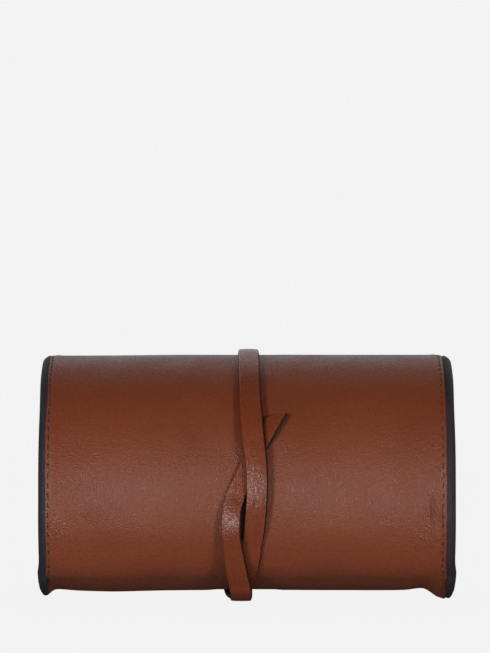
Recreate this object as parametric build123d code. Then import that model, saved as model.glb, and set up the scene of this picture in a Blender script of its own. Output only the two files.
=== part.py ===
from build123d import *
import os
from math import cos, degrees, radians, sin, sqrt

# Leather brush roll case, rolled up and bound with a thong. Millimetres, +Z up.
# The roll's axis lies along X, the front faces -Y, and the feet stand on Z = 0.
# Angles go round the section in degrees: 0 is the bottom, 90 the front, 180 the
# top, 270 the back. Below 0 they run backwards, up the inside of the back.

# Size of the sheet
ROLL_LENGTH = 210.0
BINDING_SHOW = 4.0
LEATHER_THICK = 1.3
LINING_THICK = 0.8
POCKET_THICK = 0.8
BINDING_THICK = 1.0
BINDING_TAPE = 12.0
BINDING_INSET = 0.25
PLY_GAP = 0.05
SEAM_GAP = 0.3
POCKET_START = -93.0
POCKET_END = 32.0
POCKET_CLEAR = 0.4
LEATHER_HALF = ROLL_LENGTH / 2 - BINDING_SHOW

# Depths of the plies under the leather's outside
LINING_TOP = LEATHER_THICK + PLY_GAP
LINING_BOTTOM = LINING_TOP + LINING_THICK
TAPE_TOP = LINING_BOTTOM + PLY_GAP
TAPE_BOTTOM = TAPE_TOP + BINDING_THICK
POCKET_TOP = LINING_BOTTOM + POCKET_CLEAR
POCKET_BOTTOM = POCKET_TOP + POCKET_THICK

# Section of the roll, sagged under its own weight, measured on the leather's outside
LEATHER_BOTTOM = 4.4
UPPER_R = 73.0
CORNER_R = 35.0
BOTTOM_HALF = 20.0
CORNER_END = 80.0
FREE_EDGE = 280.0
OUTER_STEP = 40.0
INNER_CORNER_R = 23.0
INNER_UPPER_R = 65.0
INNER_STEP = 30.0
END_TRIM = 3.0

# Feet: the end bindings spread down to the table
FOOT_HALF = 36.0
FOOT_TOP_HALF = 44.0

# Thong
THONG_WIDTH = 9.8
THONG_THICK = 1.9
THONG_CLEAR = 0.3
OVERLAY_CLEAR = 0.25
LEVEL_1 = THONG_CLEAR + THONG_THICK / 2
LEVEL_2 = LEVEL_1 + THONG_THICK + OVERLAY_CLEAR
EASE_DOWN = LEVEL_2 - (LEVEL_2 - LEVEL_1) / 4
THONG_START = 264.0
TAIL_BEND = 94.0
TAIL_TIP = 125.0
TAIL_TIP_X = 15.0
TIP_CUT = 1.5
CUTTER_DEPTH = 14.0

# Patch that sews the thong to the free edge
PATCH_START = 262.0
PATCH_END = 274.0
PATCH_THICK = 1.3
PATCH_HALF = 12.0
PATCH_X = 12.0

# The bottom's arc is flat enough to close the section with no kink
CORNER_RISE = sin(radians(CORNER_END)) / sin(radians(BOTTOM_HALF))
BOTTOM_R = CORNER_R + (UPPER_R - CORNER_R) * CORNER_RISE


def outward(angle):
    """Unit vector (y, z) that points out of the roll at an angle."""
    return Vector(-sin(radians(angle)), -cos(radians(angle)))


def onward(angle):
    """Unit vector (y, z) along the surface, towards larger angles."""
    return Vector(-cos(radians(angle)), sin(radians(angle)))


# Centres of the section's arcs
BOTTOM_C = Vector(0, LEATHER_BOTTOM + BOTTOM_R)
FRONT_C = BOTTOM_C + outward(BOTTOM_HALF) * (BOTTOM_R - CORNER_R)
BACK_C = BOTTOM_C + outward(-BOTTOM_HALF) * (BOTTOM_R - CORNER_R)
UPPER_C = FRONT_C - outward(CORNER_END) * (UPPER_R - CORNER_R)
INNER_C = BOTTOM_C + outward(-BOTTOM_HALF) * (BOTTOM_R - INNER_CORNER_R)
INNER_UPPER_C = INNER_C - outward(-CORNER_END) * (INNER_UPPER_R - INNER_CORNER_R)

# Panels of the sheet as (name, start angle, end angle, arc centre, arc radius).
# The sheet bends at the seam between two panels when the case is unrolled.
OUTER_NAMES = ["front_lower", "front_upper", "top", "back_upper", "flap_end"]
INNER_NAMES = ["inner_back_lower", "inner_back_middle", "inner_end"]
PANELS = [
    ("bottom", -BOTTOM_HALF, BOTTOM_HALF, BOTTOM_C, BOTTOM_R),
    ("front_corner", BOTTOM_HALF, CORNER_END, FRONT_C, CORNER_R),
    ("inner_corner", -CORNER_END, -BOTTOM_HALF, INNER_C, INNER_CORNER_R),
]
for step, name in enumerate(OUTER_NAMES):
    start = CORNER_END + step * OUTER_STEP
    PANELS.append((name, start, start + OUTER_STEP, UPPER_C, UPPER_R))
for step, name in enumerate(INNER_NAMES):
    end = -CORNER_END - step * INNER_STEP
    PANELS.append((name, end - INNER_STEP, end, INNER_UPPER_C, INNER_UPPER_R))
UNPOCKETED = ("flap_end", "inner_end")

# Thong stations as (angle, x, level at the station, level midway to the next one).
# The first turn climbs over the tail at the front; the second crosses over the
# first one at the bottom and ends in the tail.
STATIONS = [
    (THONG_START, 12.0, LEVEL_1, LEVEL_1),
    (280.0, 12.0, LEVEL_1, LEVEL_1),
    (340.0, 7.0, LEVEL_1, LEVEL_1),
    (380.0, 3.0, LEVEL_1, LEVEL_1),
    (440.0, 5.0, LEVEL_1, LEVEL_2),
    (480.0, 3.5, LEVEL_2, EASE_DOWN),
    (520.0, 1.9, LEVEL_1, LEVEL_1),
    (560.0, 0.5, LEVEL_1, LEVEL_1),
    (600.0, -4.0, LEVEL_1, LEVEL_1),
    (640.0, -7.5, LEVEL_1, LEVEL_1),
    (700.0, -5.0, LEVEL_2, LEVEL_2),
    (740.0, -4.0, LEVEL_2, LEVEL_2),
    (800.0, -7.3, LEVEL_1, LEVEL_1),
]
THONG_NAMES = [
    "thong_anchor",
    "thong_back_corner",
    "thong_bottom",
    "thong_front_corner",
    "thong_front_over",
    "thong_front_upper",
    "thong_top",
    "thong_back_upper",
    "thong_back_lower",
    "thong_second_back_corner",
    "thong_second_bottom",
    "thong_second_front_corner",
]


def section_at(angle):
    """Centre and radius of the outside arc at an angle of the thong's path."""
    turned = angle % 360
    if turned < BOTTOM_HALF or turned >= 360 - BOTTOM_HALF:
        return BOTTOM_C, BOTTOM_R
    if turned < CORNER_END:
        return FRONT_C, CORNER_R
    if turned < FREE_EDGE:
        return UPPER_C, UPPER_R
    return BACK_C, CORNER_R


def extruded(edges, x0, x1):
    """Solid from a closed outline in the YZ plane, run from x0 to x1."""
    face = make_face(Plane.YZ.offset(x0) * Curve(edges))
    return extrude(face, x1 - x0, dir=(1, 0, 0))


def band(panel, outer_depth, inner_depth, x0, x1):
    """Curved layer of a panel between two depths under the leather's outside."""
    start, end, centre, radius = panel
    trim = degrees(SEAM_GAP / 2 / radius)
    a0, a2 = start + trim, end - trim
    a1 = (a0 + a2) / 2
    outer = [centre + outward(a) * (radius - outer_depth) for a in (a0, a1, a2)]
    inner = [centre + outward(a) * (radius - inner_depth) for a in (a0, a1, a2)]
    edges = [
        ThreePointArc(*outer),
        Line(outer[2], inner[2]),
        ThreePointArc(*reversed(inner)),
        Line(inner[0], outer[0]),
    ]
    return extruded(edges, x0, x1)


def arc_of(name, start, end, centre, radius):
    """A panel's arc, cut back where an end binding closes the sheet."""
    if name == "flap_end":
        end -= END_TRIM
    if name == "inner_end":
        start += END_TRIM
    return start, end, centre, radius


def end_arc_of(name, start, end, centre, radius):
    """The strip of arc that an end binding covers."""
    if name == "flap_end":
        return end - END_TRIM, end, centre, radius
    return start, start + END_TRIM, centre, radius


def cover(arc):
    """Outer leather of one panel."""
    return band(arc, 0, LEATHER_THICK, -LEATHER_HALF, LEATHER_HALF)


def lining(arc):
    """Cloth lining glued inside the leather."""
    return band(arc, LINING_TOP, LINING_BOTTOM, -LEATHER_HALF, LEATHER_HALF)


def side_binding(arc):
    """Tape that wraps the sheet's side edge and is sewn down on the inside."""
    inner_x = LEATHER_HALF + PLY_GAP
    outer_x = ROLL_LENGTH / 2
    edge = band(arc, BINDING_INSET, TAPE_BOTTOM, inner_x, outer_x)
    return edge + band(arc, TAPE_TOP, TAPE_BOTTOM, outer_x - BINDING_TAPE, outer_x)


def foot():
    """Spread lower edge of the binding, flat where it meets the table."""
    radius = BOTTOM_R - BINDING_INSET
    top_z = BOTTOM_C.Y - sqrt(radius**2 - FOOT_TOP_HALF**2)
    edges = [
        Line((-FOOT_HALF, 0), (FOOT_HALF, 0)),
        Line((FOOT_HALF, 0), (FOOT_TOP_HALF, top_z)),
        ThreePointArc((FOOT_TOP_HALF, top_z), (0, BOTTOM_C.Y - radius), (-FOOT_TOP_HALF, top_z)),
        Line((-FOOT_TOP_HALF, top_z), (-FOOT_HALF, 0)),
    ]
    return extruded(edges, LEATHER_HALF + PLY_GAP, ROLL_LENGTH / 2)


def both_ends(solid):
    """A piece and its mirror image at the other end of the roll, as one node."""
    return Compound([solid.solid(), mirror(solid, about=Plane.YZ).solid()])


def end_binding(arc):
    """Tape over the sheet's short end, from its outside to its inside."""
    return band(arc, -PLY_GAP, TAPE_BOTTOM, -ROLL_LENGTH / 2, ROLL_LENGTH / 2)


def pocket(arc):
    """Cloth front of the brush pockets, open towards one end of the roll."""
    return band(arc, POCKET_TOP, POCKET_BOTTOM, POCKET_START, POCKET_END)


def swept_strip(start, end, levels, outline):
    """Strip between two angles, cut to an outline (x, distance from mid angle)."""
    middle = (start + end) / 2
    trim = degrees(SEAM_GAP / 2 / section_at(middle)[1])
    centre, radius = section_at(middle)
    angles = (start + trim, middle, end - trim)
    low, high = [
        [centre + outward(a) * (radius + level + side) for a, level in zip(angles, levels)]
        for side in (-THONG_THICK / 2, THONG_THICK / 2)
    ]
    edges = [
        ThreePointArc(*low),
        Line(low[2], high[2]),
        ThreePointArc(*reversed(high)),
        Line(high[0], low[0]),
    ]
    reach = max(abs(x) for x, _ in outline)
    ring = extruded(edges, -reach, reach)
    origin = centre + outward(middle) * radius
    out = outward(middle)
    plane = Plane((0, origin.X, origin.Y), x_dir=(1, 0, 0), z_dir=(0, out.X, out.Y))
    cutter = make_face(plane * Polyline(*outline, close=True))
    return ring & extrude(cutter, CUTTER_DEPTH, both=True)


def run_length(angle, middle):
    """Distance along the tangent at the mid angle from it to another angle."""
    centre, radius = section_at(middle)
    return (outward(angle) * (radius + LEVEL_1)).dot(onward(middle))


def thong_piece(here, there):
    """One length of thong between two stations."""
    start, x0, level0, level1 = here
    end, x1, level2, _ = there
    middle = (start + end) / 2
    reach = run_length(end, middle)
    slope = (x1 - x0) / (2 * reach)
    over = reach + LEVEL_2
    low_x = (x0 + x1) / 2 - slope * over
    high_x = (x0 + x1) / 2 + slope * over
    half = THONG_WIDTH / 2
    outline = [
        (low_x - half, -over),
        (low_x + half, -over),
        (high_x + half, over),
        (high_x - half, over),
    ]
    return swept_strip(start, end, (level0, level1, level2), outline)


def thong_tail(last):
    """End of the thong: it rises beside the first turn, then slants under it."""
    start, x0, level, _ = last
    end = start + TAIL_TIP - CORNER_END
    middle = (start + end) / 2
    low = -run_length(end, middle)
    bend = run_length(start + TAIL_BEND - CORNER_END, middle)
    high = -low
    slope = (TAIL_TIP_X - x0) / (high - bend)
    half = THONG_WIDTH / 2
    wide = half * sqrt(1 + slope**2)
    outline = [
        (x0 - half, low - LEVEL_2),
        (x0 + half, low - LEVEL_2),
        (x0 + half, bend - (half - wide) / slope),
        (TAIL_TIP_X + wide, high),
        (TAIL_TIP_X - wide, high + TIP_CUT),
        (x0 - half, bend + (wide - half) / slope),
    ]
    return swept_strip(start, end, (level, level, level), outline)


def patch():
    """Leather patch sewn over the thong's first end, with a tunnel for it."""
    arc = (PATCH_START, PATCH_END, UPPER_C, UPPER_R)
    tunnel_top = THONG_CLEAR + THONG_THICK + PLY_GAP
    tunnel_half = THONG_WIDTH / 2 + THONG_CLEAR
    patch_top = tunnel_top + PATCH_THICK
    whole = band(arc, -patch_top, -PLY_GAP, PATCH_X - PATCH_HALF, PATCH_X + PATCH_HALF)
    return whole - band(arc, -tunnel_top, PLY_GAP, PATCH_X - tunnel_half, PATCH_X + tunnel_half)


def save(piece, name):
    export_step(piece, os.path.join("parts", name + ".step"))


os.makedirs("parts", exist_ok=True)
for entry in PANELS:
    name = entry[0]
    arc = arc_of(*entry)
    save(cover(arc), "cover_" + name)
    save(lining(arc), "lining_" + name)
    side = side_binding(arc)
    if name == "bottom":
        side += foot()
    save(both_ends(side), "side_bindings_" + name)
    if name in UNPOCKETED:
        save(end_binding(end_arc_of(*entry)), "end_binding_" + name)
    else:
        save(pocket(arc), "pocket_panel_" + name)
for name, here, there in zip(THONG_NAMES, STATIONS, STATIONS[1:]):
    save(thong_piece(here, there), name)
save(thong_tail(STATIONS[-1]), "thong_tail")
save(patch(), "thong_patch")
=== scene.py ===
import bpy
import math
import numpy as np
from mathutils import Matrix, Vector
from mathutils.geometry import tessellate_polygon


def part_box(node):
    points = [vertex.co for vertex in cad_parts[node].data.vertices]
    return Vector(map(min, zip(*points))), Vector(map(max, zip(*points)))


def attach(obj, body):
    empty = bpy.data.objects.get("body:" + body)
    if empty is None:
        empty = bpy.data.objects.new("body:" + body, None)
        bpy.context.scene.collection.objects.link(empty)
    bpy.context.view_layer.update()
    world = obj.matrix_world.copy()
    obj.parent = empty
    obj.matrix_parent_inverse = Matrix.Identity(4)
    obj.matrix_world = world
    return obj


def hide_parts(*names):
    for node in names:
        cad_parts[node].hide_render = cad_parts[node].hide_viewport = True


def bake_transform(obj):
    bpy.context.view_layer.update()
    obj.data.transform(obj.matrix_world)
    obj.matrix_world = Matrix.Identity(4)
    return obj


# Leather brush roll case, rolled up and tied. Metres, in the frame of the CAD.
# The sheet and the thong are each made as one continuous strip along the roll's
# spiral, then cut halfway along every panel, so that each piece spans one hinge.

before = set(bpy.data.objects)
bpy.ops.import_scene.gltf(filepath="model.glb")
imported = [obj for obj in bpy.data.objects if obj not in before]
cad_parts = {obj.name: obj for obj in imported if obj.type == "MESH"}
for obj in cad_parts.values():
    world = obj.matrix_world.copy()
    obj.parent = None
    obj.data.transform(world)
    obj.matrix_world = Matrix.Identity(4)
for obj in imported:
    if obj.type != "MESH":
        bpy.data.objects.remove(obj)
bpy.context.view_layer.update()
MM = 0.001

# The roll's section: angles in degrees from the bottom, then lengths. The widths, the
# lowest level and the upper radius are the frame's.
TURN = 360.0
BOTTOM_HALF = 20.0
CORNER_END = 80.0
FREE_EDGE = TURN - CORNER_END
INNER_END = 170.0
LEATHER_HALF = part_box("cover_bottom")[1].x
ROLL_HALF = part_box("side_bindings_bottom")[1].x
LEATHER_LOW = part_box("cover_bottom")[0].z
UPPER_R = (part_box("cover_flap_end")[1].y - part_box("cover_front_lower")[0].y) / 2
CORNER_R = 35.0 * MM
INNER_CORNER_R = 23.0 * MM
INNER_UPPER_R = 65.0 * MM
BOTTOM_R = CORNER_R + (UPPER_R - CORNER_R) * math.sin(math.radians(CORNER_END)) / math.sin(
    math.radians(BOTTOM_HALF)
)


def outward(angle):
    """Unit vectors (y, z) out of the roll; the angle is in degrees from the bottom, the front at 90."""
    a = np.radians(angle)
    return np.stack([-np.sin(a), -np.cos(a)], -1)


BOTTOM_C = np.array([0.0, LEATHER_LOW + BOTTOM_R])
FRONT_C = BOTTOM_C + outward(BOTTOM_HALF) * (BOTTOM_R - CORNER_R)
BACK_C = BOTTOM_C + outward(-BOTTOM_HALF) * (BOTTOM_R - CORNER_R)
UPPER_C = FRONT_C - outward(CORNER_END) * (UPPER_R - CORNER_R)
INNER_C = BOTTOM_C + outward(-BOTTOM_HALF) * (BOTTOM_R - INNER_CORNER_R)
INNER_UPPER_C = INNER_C - outward(-CORNER_END) * (INNER_UPPER_R - INNER_CORNER_R)

# Arcs as (from angle, to angle, centre, radius), from the sheet's inner end to its free
# edge, and along the thong from the free edge on
SHEET_ARCS = [
    (-INNER_END, -CORNER_END, INNER_UPPER_C, INNER_UPPER_R),
    (-CORNER_END, -BOTTOM_HALF, INNER_C, INNER_CORNER_R),
    (-BOTTOM_HALF, BOTTOM_HALF, BOTTOM_C, BOTTOM_R),
    (BOTTOM_HALF, CORNER_END, FRONT_C, CORNER_R),
    (CORNER_END, FREE_EDGE, UPPER_C, UPPER_R),
]
ONE_TURN = [
    (TURN - CORNER_END, TURN - BOTTOM_HALF, BACK_C, CORNER_R),
    (TURN - BOTTOM_HALF, TURN + BOTTOM_HALF, BOTTOM_C, BOTTOM_R),
    (TURN + BOTTOM_HALF, TURN + CORNER_END, FRONT_C, CORNER_R),
    (TURN + CORNER_END, 2 * TURN - CORNER_END, UPPER_C, UPPER_R),
]
THONG_ARCS = [(255.0, FREE_EDGE, UPPER_C, UPPER_R)] + [
    (start + gone, end + gone, centre, radius)
    for gone in (0.0, TURN)
    for start, end, centre, radius in ONE_TURN
]


class Track:
    """A path round the roll, by arc length or by angle."""

    def __init__(self, arcs, zero):
        self.arcs = arcs
        lengths = [math.radians(b - a) * r for a, b, _, r in arcs]
        self.knots = np.concatenate([[0], np.cumsum(lengths)])
        self.angles = np.array([arcs[0][0]] + [b for _, b, _, _ in arcs])
        self.knots -= np.interp(zero, self.angles, self.knots)

    def length_at(self, angle):
        return np.interp(angle, self.angles, self.knots)

    def angle_at(self, length):
        return np.interp(length, self.knots, self.angles)

    def point(self, angle, depth):
        """Points (y, z) at a depth under the leather's outside, below 0 outside it."""
        angle, depth = np.broadcast_arrays(angle, depth)
        out = np.zeros(angle.shape + (2,))
        for i, (a, b, centre, radius) in enumerate(self.arcs):
            after = -math.inf if i == 0 else a
            until = math.inf if i == len(self.arcs) - 1 else b
            here = (angle > after) & (angle <= until)
            out[here] = centre + outward(angle[here]) * (radius - depth[here])[:, None]
        return out


SHEET = Track(SHEET_ARCS, zero=0.0)
THONG = Track(THONG_ARCS, zero=260.0)

# Where each strip is cut, as (angle, body). A piece between two cuts spans the hinge
# between their bodies but is tied to neither; the ends ride on the first and the last body.
SHEET_CUTS = [
    (-155.0, "panel_inner_end"),
    (-125.0, "panel_inner_back_middle"),
    (-95.0, "panel_inner_back_lower"),
    (-50.0, "panel_inner_corner"),
    (0.0, "panel_bottom"),
    (50.0, "panel_front_corner"),
    (100.0, "panel_front_lower"),
    (140.0, "panel_front_upper"),
    (180.0, "panel_top"),
    (220.0, "panel_back_upper"),
    (260.0, "panel_flap_end"),
]
THONG_CUTS = [
    (260.0, "panel_flap_end"),
    (310.0, "strap_back_corner"),
    (360.0, "strap_bottom"),
    (410.0, "strap_front_corner"),
    (460.0, "strap_front_over"),
    (500.0, "strap_front_upper"),
    (540.0, "strap_top"),
    (580.0, "strap_back_upper"),
    (620.0, "strap_back_lower"),
    (670.0, "strap_second_back_corner"),
    (720.0, "strap_second_bottom"),
    (770.0, "strap_second_front_corner"),
    (822.5, "strap_tail"),
]


class Noise:
    """Smooth repeatable noise over (u, v), from -1 to 1, with given cell sizes."""

    GRID = (97, 89)
    MIDDLE = (31.3, 37.7)

    def __init__(self, seed, cell_u, cell_v):
        self.grid = np.random.RandomState(seed).uniform(-1, 1, self.GRID)
        self.cell = cell_u, cell_v

    def __call__(self, u, v):
        u, v = u / self.cell[0] + self.MIDDLE[0], v / self.cell[1] + self.MIDDLE[1]
        iu, iv = np.floor(u).astype(int), np.floor(v).astype(int)
        fu, fv = u - iu, v - iv
        fu, fv = fu * fu * (3 - 2 * fu), fv * fv * (3 - 2 * fv)
        g = self.grid

        def at(a, b):
            return g[a % g.shape[0], b % g.shape[1]]

        low = at(iu, iv) * (1 - fu) + at(iu + 1, iv) * fu
        high = at(iu, iv + 1) * (1 - fu) + at(iu + 1, iv + 1) * fu
        return low * (1 - fv) + high * fv


def smooth(x, a, b):
    """0 before a, 1 after b, smooth between."""
    t = np.clip((x - a) / (b - a), 0, 1)
    return t * t * (3 - 2 * t)


def bump(x, middle, width):
    return np.exp(-(((x - middle) / width) ** 2))


# ---- materials


def new_material(name):
    """A material with its node tree and its surface shader."""
    mat = bpy.data.materials.new(name)
    mat.use_nodes = True
    nodes = mat.node_tree.nodes
    nodes.clear()
    out = nodes.new("ShaderNodeOutputMaterial")
    shader = nodes.new("ShaderNodeBsdfPrincipled")
    mat.node_tree.links.new(shader.outputs[0], out.inputs[0])
    return mat, mat.node_tree, shader


def node(tree, kind, **values):
    """A node whose inputs or settings have the given values."""
    made = tree.nodes.new(kind)
    for key, value in values.items():
        if key in made.inputs:
            made.inputs[key].default_value = value
        else:
            setattr(made, key, value)
    return made


def coords(tree, source="UV", scale=(1, 1, 1), turn=0.0):
    """Texture places, stretched and then turned by an angle in radians."""
    where = tree.nodes.new("ShaderNodeTexCoord")
    mapping = node(tree, "ShaderNodeMapping")
    mapping.inputs["Scale"].default_value = scale
    mapping.inputs["Rotation"].default_value = (0, 0, turn)
    tree.links.new(where.outputs[source], mapping.inputs["Vector"])
    return mapping.outputs[0]


def noise(tree, vector, scale, detail=3.0, rough=0.55, distortion=0.0):
    made = node(tree, "ShaderNodeTexNoise", Scale=scale, Detail=detail, Roughness=rough)
    made.inputs["Distortion"].default_value = distortion
    tree.links.new(vector, made.inputs["Vector"])
    return made.outputs["Fac"]


def ramp(tree, value, stops):
    """Colours for a value, through stops of (value, colour)."""
    made = tree.nodes.new("ShaderNodeValToRGB")
    bar = made.color_ramp
    bar.elements[0].position, bar.elements[0].color = stops[0]
    bar.elements[1].position, bar.elements[1].color = stops[-1]
    for position, colour in stops[1:-1]:
        bar.elements.new(position).color = colour
    tree.links.new(value, made.inputs[0])
    return made.outputs[0]


def grey(v):
    return (v, v, v, 1)


# Sockets of the mix node that take its factor and its two colours, and give the colour
MIX_INPUTS = (0, 6, 7)
MIX_OUTPUT = 2


def mixed(tree, factor, a, b, blend="MIX"):
    """Mixes two colours, each a colour or the output of a node."""
    made = node(tree, "ShaderNodeMix", data_type="RGBA", blend_type=blend)
    for value, number in zip((factor, a, b), MIX_INPUTS):
        if hasattr(value, "is_output"):
            tree.links.new(value, made.inputs[number])
        else:
            made.inputs[number].default_value = value
    return made.outputs[MIX_OUTPUT]


def summed(tree, terms):
    """Adds up (value, weight) pairs."""
    total = None
    for value, weight in terms:
        made = node(tree, "ShaderNodeMath", operation="MULTIPLY_ADD")
        tree.links.new(value, made.inputs[0])
        made.inputs[1].default_value = weight
        if total is None:
            made.inputs[2].default_value = 0.0
        else:
            tree.links.new(total, made.inputs[2])
        total = made.outputs[0]
    return total


# A wave texture of scale 1 repeats after this length
WAVE_PERIOD = 2 * math.pi / 20


def set_bump(tree, shader, height, distance):
    """Bumps a surface by up to a distance in metres."""
    made = node(tree, "ShaderNodeBump", Strength=1.0, Distance=distance)
    tree.links.new(height, made.inputs["Height"])
    tree.links.new(made.outputs[0], shader.inputs["Normal"])


def oval(tree, middle, size):
    """1 in the middle of an oval patch, falling to 0 at its edge."""
    where = tree.nodes.new("ShaderNodeTexCoord")
    mapping = node(tree, "ShaderNodeMapping", vector_type="TEXTURE")
    mapping.inputs["Location"].default_value = (*middle, 0)
    mapping.inputs["Scale"].default_value = (*size, 1)
    tree.links.new(where.outputs["UV"], mapping.inputs["Vector"])
    fade = node(tree, "ShaderNodeTexGradient", gradient_type="SPHERICAL")
    tree.links.new(mapping.outputs[0], fade.inputs["Vector"])
    return fade.outputs["Fac"]


def product(tree, a, b):
    made = node(tree, "ShaderNodeMath", operation="MULTIPLY")
    tree.links.new(a, made.inputs[0])
    tree.links.new(b, made.inputs[1])
    return made.outputs[0]


def wrinkles(tree, patches):
    """Fine creases inside oval patches of (middle, size, tilt, pitch, weight), for summed."""
    terms = []
    for middle, size, tilt, pitch, weight in patches:
        turned = coords(tree, turn=math.radians(tilt))
        lines = node(tree, "ShaderNodeTexWave", Scale=WAVE_PERIOD / pitch, Distortion=8.0, Detail=3.0)
        lines.inputs["Detail Scale"].default_value = 1.2
        tree.links.new(turned, lines.inputs["Vector"])
        terms.append((product(tree, oval(tree, middle, size), lines.outputs["Fac"]), weight))
    return terms


def leather(name, dark, light, worn, rough, grain, shine=0.5, pebble=0.55, patches=()):
    """Smooth oiled leather: fine pebbled grain, faint clouding, hair creases in patches.
    rough is its least and most roughness, grain the height of the grain in metres."""
    mat, tree, shader = new_material(name)
    uv = coords(tree)
    along = coords(tree, scale=(1, 2.2, 1), turn=0.2)
    across = coords(tree, scale=(3.2, 1, 1), turn=0.3)
    cloud = noise(tree, uv, scale=26.0, detail=4.0, rough=0.55)
    small = noise(tree, uv, scale=460.0, detail=3.0, rough=0.6)
    colour = ramp(tree, cloud, [(0.32, dark), (0.68, light)])
    speck = ramp(tree, small, [(0.3, grey(0.90)), (0.7, grey(1.06))])
    colour = mixed(tree, 1.0, colour, speck, "MULTIPLY")
    rubbed = noise(tree, along, scale=48.0, detail=5.0, rough=0.65)
    rub = ramp(tree, rubbed, [(0.56, grey(0.0)), (0.80, grey(0.5))])
    colour = mixed(tree, rub, colour, worn)
    tree.links.new(colour, shader.inputs["Base Color"])
    cells = node(tree, "ShaderNodeTexVoronoi", Scale=820.0, Randomness=1.0, feature="SMOOTH_F1")
    tree.links.new(uv, cells.inputs["Vector"])
    pores = noise(tree, uv, scale=1250.0, detail=0.0, rough=0.5)
    patchy = noise(tree, uv, scale=22.0, detail=2.0, rough=0.5)
    patch = ramp(tree, patchy, [(0.44, grey(0.40)), (0.62, grey(1.0))])
    crease = noise(tree, across, scale=260.0, detail=3.0, rough=0.6, distortion=0.8)
    height = summed(
        tree,
        [
            (product(tree, cells.outputs["Distance"], patch), 0.55),
            (pores, pebble),
            (small, 0.35),
            (product(tree, crease, patch), 1.5),
        ]
        + wrinkles(tree, patches),
    )
    set_bump(tree, shader, height, grain)
    low, high = rough
    stretched = coords(tree, scale=(1.8, 1, 1), turn=0.25)
    streaks = noise(tree, stretched, scale=520.0, detail=1.0, rough=0.5)
    smears = noise(tree, uv, scale=70.0, detail=5.0, rough=0.6)
    polish = summed(tree, [(smears, 0.35), (streaks, 0.65)])
    roughness = ramp(tree, polish, [(0.38, grey(low)), (0.62, grey(high))])
    tree.links.new(roughness, shader.inputs["Roughness"])
    shader.inputs["IOR"].default_value = 1.46
    shader.inputs["Specular IOR Level"].default_value = shine
    return mat


def bands(tree, vector, direction, scale, distortion, detail_scale=1.0):
    """Even stripes that follow one another along X or Y."""
    made = node(tree, "ShaderNodeTexWave", Scale=scale, Distortion=distortion, wave_type="BANDS")
    made.bands_direction = direction
    made.inputs["Detail Scale"].default_value = detail_scale
    tree.links.new(vector, made.inputs["Vector"])
    return made.outputs["Fac"]


def cloth(name, dark, light, threads=1400.0):
    """Plain-woven cloth, so many threads to the metre, with a little fuzz and uneven dye."""
    mat, tree, shader = new_material(name)
    uv = coords(tree)
    weave = node(tree, "ShaderNodeMath", operation="MAXIMUM")
    for number, direction in enumerate("XY"):
        yarns = bands(tree, uv, direction, threads * WAVE_PERIOD, distortion=0.6, detail_scale=3.0)
        tree.links.new(yarns, weave.inputs[number])
    blotch = noise(tree, uv, scale=55.0, detail=4.0, rough=0.6)
    colour = ramp(tree, blotch, [(0.3, dark), (0.72, light)])
    shade = ramp(tree, weave.outputs[0], [(0.0, grey(0.62)), (1.0, grey(1.1))])
    tree.links.new(mixed(tree, 1.0, colour, shade, "MULTIPLY"), shader.inputs["Base Color"])
    set_bump(tree, shader, summed(tree, [(weave.outputs[0], 1.0), (blotch, 1.5)]), 0.14 * MM)
    tree.links.new(ramp(tree, blotch, [(0.2, grey(0.78)), (0.8, grey(0.9))]), shader.inputs["Roughness"])
    shader.inputs["Sheen Weight"].default_value = 0.25
    shader.inputs["Sheen Roughness"].default_value = 0.5
    shader.inputs["Specular IOR Level"].default_value = 0.25
    return mat


def thread_material():
    """Waxed thread, twisted."""
    mat, tree, shader = new_material("waxed_thread")
    uv = coords(tree, turn=0.7)
    twist = bands(tree, uv, "X", 380.0, distortion=0.3)
    colour = ramp(tree, twist, [(0.0, (0.012, 0.006, 0.005, 1)), (1.0, (0.034, 0.016, 0.012, 1))])
    tree.links.new(colour, shader.inputs["Base Color"])
    set_bump(tree, shader, twist, 0.12 * MM)
    wax = ramp(tree, noise(tree, uv, 300.0), [(0.2, grey(0.42)), (0.8, grey(0.6))])
    tree.links.new(wax, shader.inputs["Roughness"])
    shader.inputs["Sheen Weight"].default_value = 0.1
    return mat


# Creases on the front as (x mm, angle, half width mm, half height mm, tilt, pitch mm, weight)
CREASES = [
    (-11.0, 110.5, 13.0, 10.0, -50.0, 1.15, 0.62),
    (-19.0, 119.0, 9.0, 5.0, -60.0, 1.1, 0.35),
    (-41.0, 117.0, 9.0, 5.0, -62.0, 1.2, 0.42),
    (-63.0, 93.0, 34.0, 27.0, -4.0, 1.15, 0.55),
    (-95.0, 76.0, 7.0, 16.0, -20.0, 1.2, 0.9),
    (-78.0, 83.0, 11.0, 9.0, -60.0, 1.2, 0.7),
    (94.5, 86.0, 8.0, 19.0, -10.0, 1.15, 1.5),
    (91.5, 68.0, 10.0, 8.0, -32.0, 1.1, 1.1),
    (74.0, 86.0, 20.0, 14.0, -18.0, 1.2, 0.6),
    (42.0, 92.0, 34.0, 24.0, -8.0, 1.2, 0.45),
]
creases_on_cover = [
    ((x * MM, SHEET.length_at(angle)), (wide * MM, high * MM), tilt, pitch * MM, weight)
    for x, angle, wide, high, tilt, pitch, weight in CREASES
]
COVER = leather(
    "cover_leather",
    dark=(0.150, 0.0310, 0.0102, 1),
    light=(0.171, 0.0358, 0.0120, 1),
    worn=(0.182, 0.0430, 0.0180, 1),
    rough=(0.38, 0.56),
    grain=0.27 * MM,
    pebble=0.85,
    patches=creases_on_cover,
)
STRAP = leather(
    "thong_leather",
    dark=(0.134, 0.0272, 0.0090, 1),
    light=(0.160, 0.0330, 0.0112, 1),
    worn=(0.180, 0.0430, 0.0180, 1),
    rough=(0.25, 0.43),
    grain=0.26 * MM,
    pebble=0.55,
)
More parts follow.
